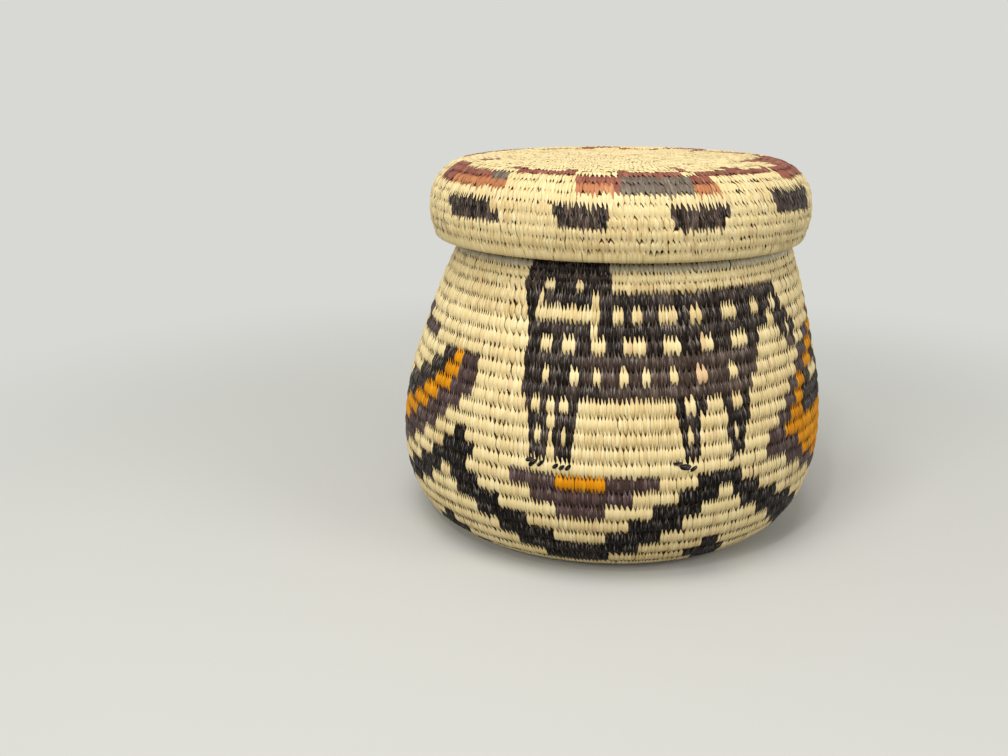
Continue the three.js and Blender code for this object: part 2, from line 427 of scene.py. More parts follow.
# %% [markdown]
# ## The shape of one strand
# Seen from outside a strand is a flat ribbon. It goes over the bundle side by side with its neighbours.
# At one end it dives into the last row through a narrow hole, and there it is pulled tight. At the other
# end it runs out in a bright sliver, between the places where the next row's strands dive. A dozen points
# in length by four in width are enough, because smooth shading rounds them. No two strands are alike:
# place, width, ends and tilt vary a little. All strands of a stretch are worked out in one go, as an
# array of strands by points along by points across.

# %% Strand sheets
ACROSS = 4
# Along a strand: place in rows, width as a share of its room, and depth below the surface in mm.
STATIONS = [
    (-0.20, 0.28, 1.1),
    (-0.13, 0.46, 0.65),
    (-0.03, 0.56, 0.28),
    (0.10, 0.68, 0.14),
    (0.22, 1.00, 0.05),
    (0.40, 1.07, 0.0),
    (0.60, 1.07, 0.0),
    (0.77, 1.03, 0.0),
    (0.86, 0.78, -0.03),
    (0.98, 0.52, -0.12),
    (1.16, 0.34, -0.14),
    (1.34, 0.04, 0.05),
]
ALONG = len(STATIONS)


def bulge(place):
    """How much a row stands out, from 0 in the grooves on both sides to 1 in its middle."""
    return (0.5 - 0.5 * np.cos(2 * np.pi * place)) ** 0.65


def swell(coil, turn, place):
    """How far the coil's surface stands off the line: low in the grooves between two rows and round
    between them. place counts rows from the row's lower groove. Thin rows swell less."""
    height = (coil.rows(turn + 1) - coil.rows(turn)) / max(1.0, coil.later)
    return coil.groove + (coil.crest - coil.groove) * bulge(place) * height


def sheets_of(points, side, share):
    """Sheets of points, and the place of each point in its strand: across it and along it, 0 to 1."""
    return points, *(np.broadcast_to(k, points.shape[:3]) for k in (side / 2 + 0.5, share))


def outer_strands(coil, turns, steps):
    """Sheets of the strands on the outside, as points [strand, along, across] and their places in the
    strand. The stations give the usual strand, and random numbers shift its ends, width and tilt."""
    count = len(turns)
    jitter = chance.normal(0, 1, (9, count, 1, 1)).clip(-2.5, 2.5)
    at, wide, deep = (np.array(k)[None, :, None] for k in zip(*STATIONS))
    side = np.linspace(-1, 1, ACROSS)[None, None, :]
    turn, step = turns[:, None, None], steps[:, None, None]
    first, last = np.clip((0.3 - at) / 0.3, 0, 1.5), np.clip((at - 0.7) / 0.3, 0, 1.5)
    ends = [coil.reach + coil.ragged * jitter[k] for k in (0, 1)]
    place = at - first * ends[0] + last * ends[1]
    width = wide * (1 + 0.05 * jitter[2] + 0.14 * jitter[3] * np.minimum(first + last, 1))
    off = swell(coil, turn, place) - deep + 0.045 * jitter[4] + 0.05 * jitter[5] * side
    off = off + coil.arch * (1 - side**2) * np.clip(width, 0.4, 1) - 0.1
    lean = (coil.lean + 0.06 * jitter[6]) * (0.5 - place) + 0.055 * jitter[7]
    bent = np.maximum(0.12 - place, 0) - np.maximum(place - 0.88, 0)
    lean = lean + np.sign(coil.lean) * (0.3 + 0.3 * jitter[8]) * bent
    angle = COIL_START + 2 * np.pi * (turn + step * (lean + side * width / 2))
    along = np.minimum(coil.along(turn + place), coil.length)
    return sheets_of(coil.point(along, off, angle), side, (at - at[:, :1]) / np.ptp(at))


sample, _, _ = outer_strands(basket, basket.strands[6000:6002], basket.steps[6000:6002])
print("a strand is", np.round(np.ptp(sample[0], axis=0) / MM, 2), "mm in x, y, z")

# %% [markdown]
# Inside, the strands lie flatter and lean the other way. At the rim each strand goes right round the
# last row: up the outside, over the top and down the inside.

# %% Inner and rim strands
INNER_ALONG, INNER_ACROSS = 6, 3
RIM_ALONG = 16
# The side of the lid's lip, in degrees, where its strands lie aslant, its spread, and how much more.
SLANT_AT, SLANT_SPREAD, SLANT_MORE = -132, 16, 7


def inner_strands(coil, turns, steps):
    """Sheets of the strands on the inside: flatter, wider and leaning the other way."""
    count = len(turns)
    jitter = chance.normal(0, 1, (2, count, 1, 1))
    share = np.linspace(0, 1, INNER_ALONG)[None, :, None]
    side = np.linspace(1, -1, INNER_ACROSS)[None, None, :]
    turn = turns[:, None, None]
    place = -0.16 + 1.32 * share
    width = 1.05 * np.clip(np.minimum(share, 1 - share) / 0.24, 0, 1) ** 0.85
    off = -(coil.inside - 0.55 + 0.4 * bulge(place) + 0.18 * (1 - side**2) + 0.05 * jitter[0])
    off = off + 0.4 * np.clip((place - 0.95) / 0.2, 0, 1)
    lean = (0.5 + 0.12 * jitter[1]) * (share - 0.5)
    angle = COIL_START + 2 * np.pi * (turn + steps[:, None, None] * (lean + side * width / 2))
    along = np.minimum(coil.along(turn + place), coil.length)
    return sheets_of(coil.point(along, off, angle), side, share)


def rim_path(coil, turn, share, lowest, sunk=0.0):
    """The way of a strand round the last row: up the outside from the groove to the crest, half an
    ellipse over the rim, and down the inside. Returns the place along the line and the standing off."""
    start = coil.along(turn + lowest)
    outer, inner = coil.crest - 0.1 - sunk, coil.inside - 0.1 - sunk
    top = coil.rim - sunk
    up = coil.length - start
    over = np.pi * (outer + inner) / 4 + top
    come = share * (2 * up + over)
    room = np.minimum(coil.along(turn + 1) - coil.along(turn), 0.5 * coil.along(1))
    rise = np.clip((start + come - coil.along(turn)) / np.maximum(room, 0.3), 0, 1)
    outside = coil.groove - sunk + (outer - coil.groove + sunk) * np.sin(np.pi / 2 * rise) ** 2
    round_rim = np.clip((come - up) / over, 0, 1) * np.pi
    middle, half = (outer - inner) / 2, (outer + inner) / 2
    on_rim = middle + half * np.cos(round_rim)
    off = np.where(come < up, outside, on_rim)
    along = np.where(come < up, start + come, coil.length + top * np.sin(round_rim))
    along = np.where(come > up + over, coil.length - (come - up - over), along)
    return along, off


def rim_strands(coil, turns, steps):
    """Sheets of the strands that go round the rim."""
    count = len(turns)
    jitter = chance.normal(0, 1, (4, count, 1, 1))
    share = np.linspace(0, 1, RIM_ALONG)[None, :, None]
    side = np.linspace(-1, 1, ACROSS)[None, None, :]
    turn = turns[:, None, None]
    along, off = rim_path(coil, turn, share, -0.16 - coil.reach + coil.ragged * jitter[0])
    widening = 0.3 + 0.8 * np.minimum(share, 1 - share) / 0.16
    width = np.clip(widening, 0, 1) * (1.12 + 0.05 * jitter[1])
    arch = coil.arch * (1 - side**2) * np.clip(width, 0.35, 1)
    out = np.where(off > 0, 1, -1) * (arch + 0.04 * jitter[3])
    past = np.clip((along - coil.length) / coil.rim, 0, 1)
    off = off + out * (1 - past) - 0.9 * np.clip((0.08 - share) / 0.08, 0, 1)
    along = along + coil.arch * (1 - side**2) * past
    degrees = (np.degrees(COIL_START) + 360 * turn + 180) % 360 - 180
    slant = 1 + SLANT_MORE * np.exp(-(((degrees - SLANT_AT) / SLANT_SPREAD) ** 2)) * (coil.side < 0)
    lean = coil.lean * (0.5 - share * slant) + 0.08 * jitter[2]
    angle = COIL_START + 2 * np.pi * (turn + steps[:, None, None] * (lean + side * width / 2))
    return sheets_of(coil.point(along, off, angle), side, share)


sample, _, _ = rim_strands(lid, lid.strands[-3:], lid.steps[-3:])
print("a rim strand is", np.round(np.ptp(sample[0], axis=0) / MM, 2), "mm in x, y, z")

# %% [markdown]
# The animal's toes are single strands, sewn slantwise over the plain row that it walks on.

# %% Toes
TOE_ALONG, TOE_ACROSS = 7, 4
# Each toe: degrees and row of its middle, how many degrees and rows it spans, and its width in mm.
TOES = [
    (-108.2, 21.91, 2.1, 0.24, 1.5),
    (-107.35, 21.69, 1.9, 0.54, 1.6),
    (-105.4, 21.72, 1.5, 0.46, 1.4),
    (-101.7, 21.66, 1.3, 0.34, 1.5),
    (-100.2, 21.6, 1.3, 0.36, 1.4),
    (-98.7, 21.64, 1.3, 0.42, 1.4),
    (-73.2, 21.95, 2.4, -0.05, 1.5),
    (-71.3, 21.68, 3.2, -0.12, 2.3),
    (-69.3, 21.52, 1.9, 0.35, 1.5),
    (-59.2, 21.9, 1.3, 0.5, 1.4),
]


def toe_strands(coil, shift):
    """Sheets of slanting strands over the row below the feet. Each runs straight from end to end of
    its span and is as wide as an ellipse would be there."""
    a, row, wide, high, thick = (np.array(k)[:, None, None] for k in zip(*TOES))
    share = np.linspace(0, 1, TOE_ALONG)[None, :, None]
    side = np.linspace(-1, 1, TOE_ACROSS)[None, None, :]
    degree = 2 * np.pi * BELLY_RADIUS / 360
    height = coil.along(1.0)
    length = np.hypot(wide * degree, high * height)
    beside = side * thick / 2 * np.clip(4 * share * (1 - share), 0, 1) ** 0.4
    degrees = a + wide * (share - 0.5) - beside * high * height / length / degree
    turn = row + (a + 155) / 360 + high * (share - 0.5) + beside * wide * degree / length / height
    off = coil.crest + 0.25 - 0.45 * (2 * share - 1) ** 4 + 0.12 * (1 - side**2)
    points = coil.point(coil.along(turn), off, np.radians(degrees + shift))
    return sheets_of(points, side, 0.3 + 0.6 * share)


print(len(TOES), "toes")

# %% [markdown]
# ## The bundle inside
# Between the strands' tips the bundle can be seen. Its dark brown is partly the fibre's own colour and
# partly painted shade for the holes. It is one closed tube that follows the coil, a little below the
# strands: its section goes up the outside of the row and back down the inside.

# %% Foundation bundle
BUNDLE_STEPS, BUNDLE_ROUND = 60, 12
SUNK = 1.0  # how far the bundle lies below the strands


def bundle(coil, first, last):
    """The closed tube of a stretch, as points [step, round the section]: outside up, inside down."""
    begin = -0.8 if first == 0 else first
    steps = max(int((last - begin) * BUNDLE_STEPS), 2)
    turn = np.linspace(begin, last, steps + 1)[:, None]
    share = np.linspace(0, 1, BUNDLE_ROUND // 2)[None, :]
    place = np.concatenate([share, share[:, ::-1]], axis=1)
    outside = swell(coil, turn, share) - SUNK
    off = np.concatenate([outside, np.full_like(outside, 0.95 - coil.inside)], axis=1)
    along = np.minimum(coil.along(turn + 0.02 + 0.96 * place), coil.length)
    share = np.linspace(0, 1, BUNDLE_ROUND)[None, :]
    rim_along, rim_off = rim_path(coil, turn, share, 0.0, SUNK)
    at_rim = turn > coil.turns - 1
    along, off = np.where(at_rim, rim_along, along), np.where(at_rim, rim_off, off)
    return coil.point(along, off, COIL_START + 2 * np.pi * turn)


print("a turn of the bundle has", BUNDLE_STEPS * BUNDLE_ROUND, "faces")

# %% [markdown]
# ## The pattern
# The dyes follow the photograph: a spotted animal with banded legs walks round the front, banded stepped
# figures stand and hang on both sides of it, and a stepped zigzag runs round the lower wall. Such
# figures are common to the basket makers of many villages. The chart is written as a maker counts it:
# a row number, and the degrees round the basket from where to where a dye is used. 0 is the right side
# and -90 the front. On the side that the photograph hides the same figures are repeated.

# %% Counting rows and degrees
DYES = ["plain", "black", "jet", "brown", "purple", "orange", "russet", "rust", "grey", "tan", "shade_under_lid"]
PLAIN, BLACK, JET, BROWN, PURPLE, ORANGE, RUSSET, RUST, GREY, TAN, SHADE_UNDER_LID = range(11)


def around(turns, middle):
    """Degrees and rows of strands as counted from a figure's middle: degrees within half a turn of
    it, and the row that a strand belongs to there."""
    degrees = np.degrees(COIL_START) + 360 * turns
    degrees = (degrees - middle + 180) % 360 - 180 + middle
    row = turns - (degrees - np.degrees(COIL_START) + 360) / 360
    return degrees, np.round(row).astype(int)


def within(a, low, high):
    return (a >= low) & (a < high)


def paint(dyes, rows, a, chart, dye):
    """Gives a dye to every strand inside one of the chart's spans, which it lists for each row."""
    for row, spans in chart.items():
        for low, high in spans:
            dyes[(rows == row) & within(a, low, high)] = dye


_, rows = around(basket.strands, -90)
print("rows at the front run from", rows.min(), "to", rows.max())

# %% The animal
ANIMAL = {
    36: [(-118, -111), (-99, -94)],
    35: [(-118.5, -94)],
    34: [(-118.3, -93.3)],
    33: [(-118, -112.8), (-109.3, -103.2), (-100, -92.7)],
    32: [(-117.7, -113), (-111.3, -97.7), (-95.2, -38.5)],
    31: [(-115.3, -112.8), (-95.2, -91.7), (-89, -86.2), (-83.2, -79.3), (-74.4, -70.5)]
    + [(-66, -60.8), (-55.8, -50.5), (-47, -41.2), (-39, -36)],
    30: [(-115, -96.5), (-94.8, -43.7), (-41.3, -33)],
    29: [(-113.5, -109.7), (-106.7, -103.5), (-100, -96.2), (-92.2, -87.4), (-82.5, -77.5)]
    + [(-73.5, -68), (-64, -58.4), (-52.5, -48), (-38.8, -35), (-33, -30)],
    28: [(-113.5, -49), (-36.3, -30)],
    27: [(-113.3, -107.8), (-105.7, -101), (-99, -94.8), (-92.5, -88.5), (-86.5, -82)]
    + [(-80.2, -75.7), (-73, -68.6), (-65.4, -59), (-56.7, -50.1)],
    26: [(-112.5, -52.2)],
    25: [(-111.5, -109.5), (-107, -105.3), (-103.7, -102.2), (-99.7, -97.8)]
    + [(-73.6, -71.9), (-69.1, -65.7), (-61.5, -58.4), (-56, -53.6)],
    24: [(-109.9, -104.9), (-103.1, -98), (-73.4, -67), (-60.5, -53.6)],
    23: [(-108.9, -107.5), (-106.4, -104.5), (-103, -101.2), (-100.2, -98)]
    + [(-72.7, -70.8), (-69.3, -67.4), (-60.4, -58.2), (-56.7, -54.6)],
    22: [(-108.3, -104.4), (-101.8, -98.3), (-72, -67.7), (-59.3, -55)],
}
ANIMAL_MIDDLE, ANIMAL_TURNED = -75, 155  # and how far round the second animal walks


def animal(dyes, rows, a):
    """A spotted animal that looks to the left, with banded legs. Towards its tail the black is older
    and has gone brown, and one spot is tan."""
    own = np.full(len(dyes), -1)
    paint(own, rows, a, ANIMAL, BLACK)
    own[(own == BLACK) & within(rows, 26, 29) & (a > -94 + 6 * np.sin(rows * 2.0))] = BROWN
    own[(rows == 27) & within(a, -68.6, -65.4)] = TAN
    dyes[own >= 0] = own[own >= 0]


print("the animal's chart has", sum(map(len, ANIMAL.values())), "spans")

# %% [markdown]
# The zigzag is worked in a blacker dye. Its stairs are two steps wide, so that each row's block overlaps
# the next one. The chart of one peak counts degrees from the peak and is used four times. The peak on
# the left is taller, with a notch below its top.

# %% Zigzag and the stepped triangle
PEAK = {
    20: [(-6.2, 6.7)],
    19: [(-10.3, 0.1), (3.8, 12.6)],
    18: [(-16, -4.5), (7.6, 19.5)],
    17: [(-21.6, -8.6), (13, 28)],
    16: [(-26.5, -12.8), (19.6, 35)],
    15: [(-49, -18.2), (-1.2, 3.8)],
    14: [(-42.3, -24.8), (-4.5, 6.7)],
    13: [(-1, 8.5)],
}
TALL_PEAK = {
    22: [(-131.5, -127.5)],
    21: [(-135, -123.5)],
    20: [(-140, -126)],
    19: [(-146.5, -135.5), (-132.3, -122.3)],
    18: [(-154.5, -140), (-129.3, -115.7)],
    17: [(-165, -147), (-122.3, -108.5)],
    16: [(-175, -158), (-116, -102)],
    15: [(-175, -163), (-138.5, -133.3), (171, 185)],
    14: [(-144, -129.7)],
    13: [(-130, -124)],
}
PEAKS = [-62, 10, 82, 154]
TRIANGLE = {20: [(-113, -77)], 19: [(-107.5, -83.5)], 18: [(-101.5, -89)]}
TRIANGLE_MIDDLE, TRIANGLE_TURNED = -90, 144


def zigzag(dyes, rows, a):
    """Stairs up and down round the lower wall, and small feet under the peaks."""
    paint(dyes, rows, a, TALL_PEAK, JET)
    for peak in PEAKS:
        paint(dyes, rows, a - peak, PEAK, JET)


def triangle(dyes, rows, a):
    """A stepped purple triangle that stands on its point, with an orange middle in its top row."""
    paint(dyes, rows, a, TRIANGLE, PURPLE)
    paint(dyes, rows, a, {20: [(-102, -89.5)]}, ORANGE)


print("the zigzag has", 1 + len(PEAKS), "peaks")

# %% [markdown]
# The two big figures are made of bands that follow their stepped outline: purple outside, then orange,
# then black, then plain. For each row the chart gives how many degrees each band reaches to both sides
# of the figure's middle. Just under the lid the plain rows are painted greyish as the lid's shade.

# %% Banded figures
BANDS = [PURPLE, ORANGE, BLACK, PLAIN, BLACK]
HANGING_MIDDLE, STANDING_MIDDLE = -183, -3
HANGING = {
    29: (19.5,),
    28: (32, 15, 15, 15),
    27: (55.5, 49, 45, 39.5),
    26: (56, 48.5, 42, 34),
    25: (55.5, 46.5, 39, 27.5),
    24: (52, 42, 33, 18),
    23: (47.5, 37.7, 28),
    22: (43, 31.5, 18),
    21: (38.3, 24),
    20: (31.3, 14),
    19: (23.7,),
    18: (14,),
}
STANDING = {
    30: (8,),
    29: (12, 7),
    28: (21, 14.5, 6),
    27: (27, 20, 13),
    26: (30, 24, 17, 10),
    25: (34, 30, 25, 20.5, 12),
    24: (36.5, 32, 27),
    23: (40, 35, 28),
    22: (44, 37),
    21: (45, 31),
    20: (37, 27.5),
    19: (28.5, 20),
    18: (20,),
    17: (11,),
}


def banded(dyes, rows, a, chart, middle):
    """Paints a figure's bands from the outside in, the same to both sides of its middle."""
    for row, reaches in chart.items():
        for reach, dye in zip(reaches, BANDS):
            dyes[(rows == row) & (np.abs(a - middle) < reach)] = dye


def basket_dyes(turns):
    """The dye of every strand on the outside of the basket."""
    dyes = np.full(len(turns), PLAIN)
    a, rows = around(turns, 5)
    zigzag(dyes, rows, a)
    banded(dyes, rows, a, STANDING, STANDING_MIDDLE)
    a, rows = around(turns, HANGING_MIDDLE)
    banded(dyes, rows, a, HANGING, HANGING_MIDDLE)
    for turned in (0, ANIMAL_TURNED):
        a, rows = around(turns, ANIMAL_MIDDLE + turned)
        animal(dyes, rows, a - turned)
    for turned in (0, TRIANGLE_TURNED):
        a, rows = around(turns, TRIANGLE_MIDDLE + turned)
        triangle(dyes, rows, a - turned)
    # Painted shadow: a red-brown dotted row just under the lid's front edge, two strands in three.
    a, rows = around(turns, -60)
    dyes[(rows == 36) & within(a, -84, -40) & (np.arange(len(turns)) % 3 > 0)] = RUSSET
    # Painted shade: plain strands in the two rows under the lid turned greyish, as in the lid's shadow.
    dyes[(dyes == PLAIN) & within(rows, 35, 36.5)] = SHADE_UNDER_LID
    return dyes


basket.dyes = basket_dyes(basket.strands)
print("dyed strands on the basket:", int((basket.dyes != PLAIN).sum()))

# %% [markdown]
# The lid has dark blocks two rows high round its side, patches of russet, rust and grey where the side
# turns over into the top, and a thin ring with knobs near the edge of the top. The ring drifts: at the
# far side it lies six rows nearer the centre than at the front. So it has a row count of its own, in
# which 0 is the ring's row and 1 the next one towards the centre.

# %% Dyes of the lid
SIDE_BLOCKS = {
    27: [(-43, -20)],
    28: [(-146, -126), (-107, -91.5), (-76, -59.5), (-42, -22), (-4, 14)]
    + [(33, 50), (68, 86), (104, 121), (140, 158)],
    29: [(-143, -123), (-105.5, -92.5), (-74.5, -60.5), (-3, 13)]
    + [(34, 49), (69, 85), (105, 120), (141, 157)],
}
RING_ROW, RING_DRIFT = 24, 6  # the ring's row at the front, and how many rows it drifts to the far side
RING = {
    -1: [(47, 67), (90, 108), (138, 180)],
    0: [(-124, -103), (-90, -71.5), (-66, -34), (5, 17), (43, 67), (90, 110), (136, 180)],
    1: [(-127, -121), (-107, -103), (-90, -87), (-71, -68.5), (-53, -47)]
    + [(17, 30), (43, 48), (67, 71), (85, 90), (104, 110)],
    2: [(-160, -153), (-71, -68.5), (-53, -49), (17, 48), (67, 90), (104, 136)],
    3: [(-160, -153), (-71, -68.5), (43, 48), (67, 71), (85, 90)],
    4: [(-160, -153)],
}
PATCHES = [
    (24, -165, -150, RUSSET),
    (25, -162, -131, RUSSET),
    (25, -131, -124.5, GREY),
    (26, -160, -148, RUSSET),
    (26, -148, -123, RUST),
    (25, -102, -89, RUSSET),
    (26, -101.5, -91, RUST),
    (26, -91, -89, RUSSET),
    (25, -89, -69, GREY),
    (26, -89, -69, GREY),
    (25, -69, -63, RUSSET),
    (26, -69, -62, RUST),
    (25, -33, -2, RUSSET),
    (24, -33, 10, RUSSET),
    (23, -25, 14, RUSSET),
    (22, -22, 12, RUSSET),
    (21, -22, 8, RUSSET),
    (20, -25, -2, RUSSET),
    (19, -28, -15, RUSSET),
]


def lid_dyes(turns):
    """The dye of every strand on the outside of the lid. Rows are counted from the centre outwards."""
    dyes = np.full(len(turns), PLAIN)
    a, rows = around(turns, 5)
    far = (0.5 - 0.5 * np.cos(np.radians(a + 90))) ** 1.6
    ring = RING_ROW - np.round(RING_DRIFT * far).astype(int)
    paint(dyes, ring - rows, a, RING, RUSSET)
    dyes[(ring == rows) & within(a, -8, 16) & (np.arange(len(turns)) % 2 == 0)] = RUSSET
    for row, low, high, dye in PATCHES:
        dyes[(rows == row) & within(a, low, high)] = dye
    paint(dyes, rows, a, SIDE_BLOCKS, BLACK)
    dyes[(dyes == BLACK) & (chance.uniform(0, 1, len(dyes)) < 0.6)] = BROWN
    return dyes


lid.dyes = lid_dyes(lid.strands)
print("dyed strands on the lid:", int((lid.dyes != PLAIN).sum()))

# %% [markdown]
# ## The strands' material
# A split palm strand is a flat ribbon with fine veins along it and a faint satin shine. Each strand has
# its own tone, and strands from the same leaf share a batch. Its edges are a little darker, partly dust
# and partly painted shade between the strands. Towards its lower end it is painted darker as shade under
# the row's rounding, and dark where it dives into its hole as the hole's shade. Its upper end is painted
# lighter, and pale streaks are painted on it, as light and glints from above. The shader reads three
# things from the mesh: the place in the strand, from the map called strand, and two numbers for each
# strand, called tone and batch. A slow noise over the whole basket lets some patches go browner.

# %% Palm strand material
# Colour of the pale streaks painted on the strands as glints.
GLINT_STREAK_COLOUR = colour(186, 174, 162)


def strand_material(name, plain, deep, pale, odd, rough, shine, relief, glint_share):
    """A palm strand: plain is its usual colour, deep its colour at the edges, in the veins and in the
    painted shade towards its lower end, pale the colour of its lightest veins and of the painted light
    at its upper end, and odd that of one strand in twenty. The glint share is how strongly pale streaks
    are painted on as glints, most of all near the strand's free end."""
    s = Shader(bpy.data.materials.new("palm_" + name))
    place = s.node("ShaderNodeUVMap", {"uv_map": "strand"})
    across = s.node("ShaderNodeSeparateXYZ", None, {0: place}, "X")
    length = s.node("ShaderNodeSeparateXYZ", None, {0: place}, "Y")
    tone = s.node("ShaderNodeAttribute", {"attribute_name": "tone"}, None, "Fac")
    batch = s.node("ShaderNodeAttribute", {"attribute_name": "batch"}, None, "Fac")
    where = s.node("ShaderNodeTexCoord", None, None, "Object")
    vein_at = {0: across * 2.2 + tone * 61, 1: length * 1.0, 2: tone * 23}
    vein_place = s.node("ShaderNodeCombineXYZ", None, vein_at)
    veins = s.noise(vein_place, 1.7, 3.0)
    age = s.noise(where, 36.0, 3.0)
    # Painted shade: edges darker (partly dust too), and the lower part of each strand darker, as shade
    # under the row's rounding.
    edge = (across * 2 - 1).math("ABSOLUTE") ** 3
    below = ((0.55 - length) * 1.9).clamped() ** 2
    dark = edge * 0.3 + below * 0.5 + (veins - 0.5) * 2.0 + (age - 0.5) * 0.9 + (batch - 0.5) * 0.5
    # Painted light: the upper end of each strand lighter, as lit from above. Tone and veins vary at random.
    light = (tone - 0.52) * 1.0 + (veins - 0.5) * -2.0 + (length - 0.8).clamped() * 1.2
    colours = s.mix(light.clamped(), s.mix(dark.clamped(), plain, deep), pale)
    # Painted shade: the end that dives into the hole goes dark, as the hole's shade.
    hole = ((0.16 - length) * 9).clamped() * 0.85
    colours = s.mix(hole, colours, tuple(part * 0.4 for part in deep[:3]) + (1,))
    # Painted glints: pale streaks on the strand, strongest towards its upper end.
    glint_at = {0: across * 3.2 + tone * 97, 1: length * 2.0, 2: tone * 31}
    glint_place = s.node("ShaderNodeCombineXYZ", None, glint_at)
    glint_noise = s.noise(glint_place, 1.0, 2.0)
    glint_streak = ((glint_noise - 0.53) * 7).clamped() * ((length - 0.25) * 2.4).clamped() * glint_share
    colours = s.mix(glint_streak, colours, GLINT_STREAK_COLOUR)
    rare = ((tone - 0.94) * 18).clamped() * 0.6
    grain = veins * 0.8 + (1 - edge) * 0.2
    bump = s.node("ShaderNodeBump", None, {"Strength": relief, "Distance": 0.0003, "Height": grain})
    inputs = {"Base Color": s.mix(rare, colours, odd), "Roughness": veins * 0.3 + rough, "Normal": bump}
    inputs["Specular IOR Level"] = shine
    return s.finish(s.node("ShaderNodeBsdfPrincipled", None, inputs))


def fibre_material():
    """The bundle's fibre: brown and matt, darkened as painted shade for the holes, with fine streaks round
    the basket.
    """
    s = Shader(bpy.data.materials.new("bundle_fibre"))
    where = s.node("ShaderNodeTexCoord", None, None, "Object")
    streaks = s.noise(where, 900.0, 2.0)
    # Dark brown, partly the fibre's own colour and partly painted shade for the holes.
    brown = s.mix(streaks, colour(66, 46, 26), colour(104, 78, 46))
    inputs = {"Base Color": brown, "Roughness": 0.9}
    return s.finish(s.node("ShaderNodeBsdfPrincipled", None, inputs))


# Usual, deep, light and rare colour, roughness, shine, relief of the veins, and share of painted glints.
FINISHES = {
    "plain": ((230, 209, 152), (184, 152, 92), (247, 235, 188), (198, 156, 108), 0.40, 0.35, 0.4, 0.15),
    "black": ((27, 20, 16), (7, 5, 4), (92, 78, 70), (60, 46, 38), 0.30, 0.1, 1.0, 0.55),
    "jet": ((7, 5, 5), (2, 2, 2), (44, 38, 38), (28, 22, 20), 0.28, 0.08, 1.0, 0.4),
    "brown": ((58, 42, 33), (22, 15, 11), (126, 106, 92), (84, 60, 46), 0.30, 0.2, 1.0, 0.5),
    "purple": ((64, 44, 41), (30, 20, 18), (112, 92, 94), (84, 58, 50), 0.34, 0.18, 0.8, 0.45),
    "orange": ((214, 138, 0), (166, 92, 0), (240, 174, 16), (172, 112, 12), 0.42, 0.14, 0.5, 0.04),
    "russet": ((136, 72, 52), (86, 40, 28), (176, 112, 90), (100, 52, 42), 0.38, 0.3, 0.7, 0.2),
    "rust": ((182, 114, 70), (132, 72, 34), (220, 166, 112), (150, 82, 50), 0.38, 0.3, 0.7, 0.2),
    "grey": ((102, 90, 76), (56, 48, 40), (146, 134, 118), (120, 98, 78), 0.36, 0.3, 0.8, 0.3),
    # Greyish plain strands, painted as the shade under the lid.
    "shade_under_lid": ((190, 183, 154), (142, 132, 100), (210, 206, 182), (166, 150, 116), 0.40, 0.35, 0.4, 0.15),
    "tan": ((222, 186, 140), (176, 136, 88), (236, 208, 164), (190, 146, 104), 0.40, 0.35, 0.4, 0.1),
}
materials = []
for name in DYES:
    *tints, rough, shine, relief, glint_share = FINISHES[name]
    materials.append(strand_material(name, *[colour(*tint) for tint in tints], rough, shine, relief, glint_share))
materials.append(fibre_material())
FIBRE = len(materials) - 1
print(len(materials), "materials")

# %% [markdown]
# ## One mesh for each stretch
# The part is cut into stretches of coil, and each one is a node. Every node gets one mesh: the bundle and
# its strands. The faces of a sheet of points are always the same quads, shifted from strand to strand,
# so they are worked out as whole arrays too. A second map, the atlas, lays all faces out side by side in
# one square without overlap, so that the finish can be baked into a picture: each strand gets a cell of
# a grid, and the bundle a strip below it.

# %% Faces and maps
STRIP = 0.05  # share of the atlas that the bundle takes
LEAF = 40  # strands split from one leaf


def sheet_faces(count, rows, columns):
    """The quads of separate sheets that each hold rows by columns of points."""
    corner = (np.arange(rows - 1)[:, None] * columns + np.arange(columns - 1)).ravel()
    quad = np.stack([corner, corner + 1, corner + columns + 1, corner + columns], axis=1)
    return (np.arange(count)[:, None, None] * rows * columns + quad).reshape(-1, 4)


def tube_faces(rows, columns):
    """The quads of a tube with rows sections of columns points, with a fan of quads on both ends, and
    their places in the atlas."""
    row, column = (k.ravel() for k in np.meshgrid(np.arange(rows - 1), np.arange(columns), indexing="ij"))
    beside = (column + 1) % columns
    corners = [row * columns + column, row * columns + beside]
    corners += [(row + 1) * columns + beside, (row + 1) * columns + column]
    half = columns // 2
    cap = np.array([[i, columns - 1 - i, columns - 2 - i, i + 1] for i in range(half - 1)])
    faces = np.vstack([np.stack(corners, axis=1), cap, cap[:, ::-1] + (rows - 1) * columns])
    u = np.stack([row, row, row + 1, row + 1], axis=1) / (rows - 1) * 0.98
    v = np.stack([column, column + 1, column + 1, column], axis=1) / columns
    square = np.array([[0, 0], [1, 0], [1, 1], [0, 1]]) * [0.015, 0.08]
    ends = [square + [0.984, 0.1 * k] for k in range(2 * len(cap))]
    chart = np.concatenate([np.stack([u, v], axis=-1), ends]) * [1, STRIP * 0.92]
    return faces, chart


def grid_places(first, count, total):
    """The lower left corners of the atlas cells of some sheets, and the size of a cell. The grid has
    about five times as many columns as rows, because strands are long and thin."""
    columns = math.ceil(math.sqrt(total * 5))
    rows = math.ceil(total / columns)
    cell = np.arange(first, first + count)
    size = np.array([1 / columns, (1 - STRIP) / rows])
    return np.stack([cell % columns * size[0], STRIP + cell // columns * size[1]], axis=1), size


print("cells of 100 sheets are", np.round(grid_places(0, 1, 100)[1], 3))

